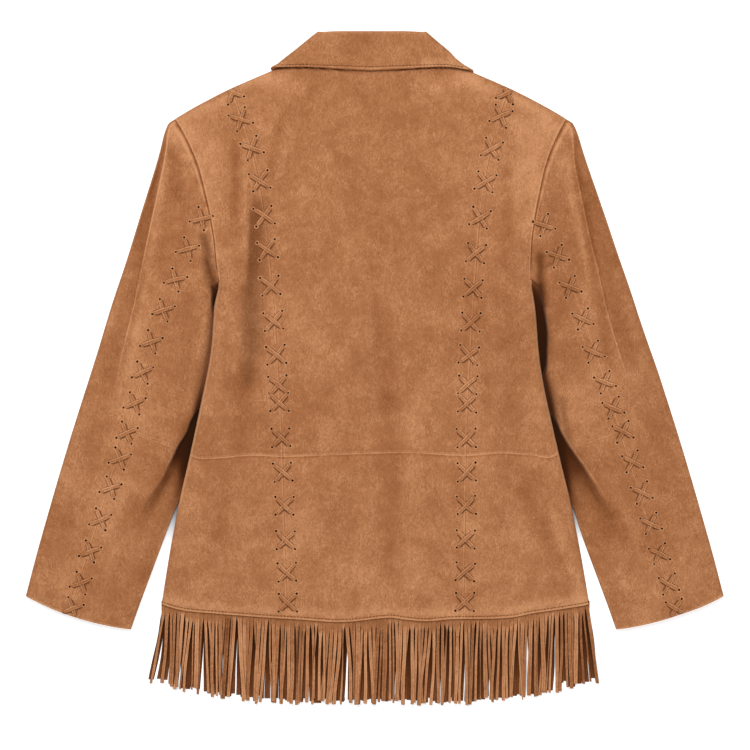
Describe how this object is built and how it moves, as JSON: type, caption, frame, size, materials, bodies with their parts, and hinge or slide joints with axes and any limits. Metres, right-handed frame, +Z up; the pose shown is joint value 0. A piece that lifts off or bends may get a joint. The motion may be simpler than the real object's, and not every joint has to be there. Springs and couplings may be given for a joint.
{
  "type": "fringed suede jacket",
  "caption": "Suede jacket laid flat with its back up: hollow body and sleeves, folded collar, laced seams on the back and sleeves, and a cut fringe along the hem.",
  "frame": {"origin": "under the middle of the jacket's outline, on the surface it lies on", "axes": "+Z up, away from the surface and out of the back; +Y from the hem to the collar; +X towards the wearer's right sleeve"},
  "size_m": [0.808, 0.7859, 0.0157],
  "materials": {
    "suede": "brushed suede with a soft uneven nap",
    "collar_suede": "brushed suede, doubled and topstitched",
    "fringe_suede": "brushed suede cut into narrow strips",
    "thong_suede": "smooth-sided suede thong"
  },
  "bodies": {
    "root": {"back_centre_upper": "suede", "back_centre_lower": "suede", "back_left_upper": "suede", "back_left_lower": "suede", "back_right_upper": "suede", "back_right_lower": "suede", "front_left": "suede", "front_right": "suede", "sleeve_top_left": "suede", "sleeve_top_right": "suede", "sleeve_under_left_upper": "suede", "sleeve_under_left_lower": "suede", "sleeve_under_right_upper": "suede", "sleeve_under_right_lower": "suede", "collar": "collar_suede", "fringe_back": "fringe_suede", "fringe_front_left": "fringe_suede", "fringe_front_right": "fringe_suede", "lacing_back_left": "thong_suede", "lacing_back_right": "thong_suede", "lacing_sleeve_left": "thong_suede", "lacing_sleeve_right": "thong_suede"}
  },
  "joints": []
}
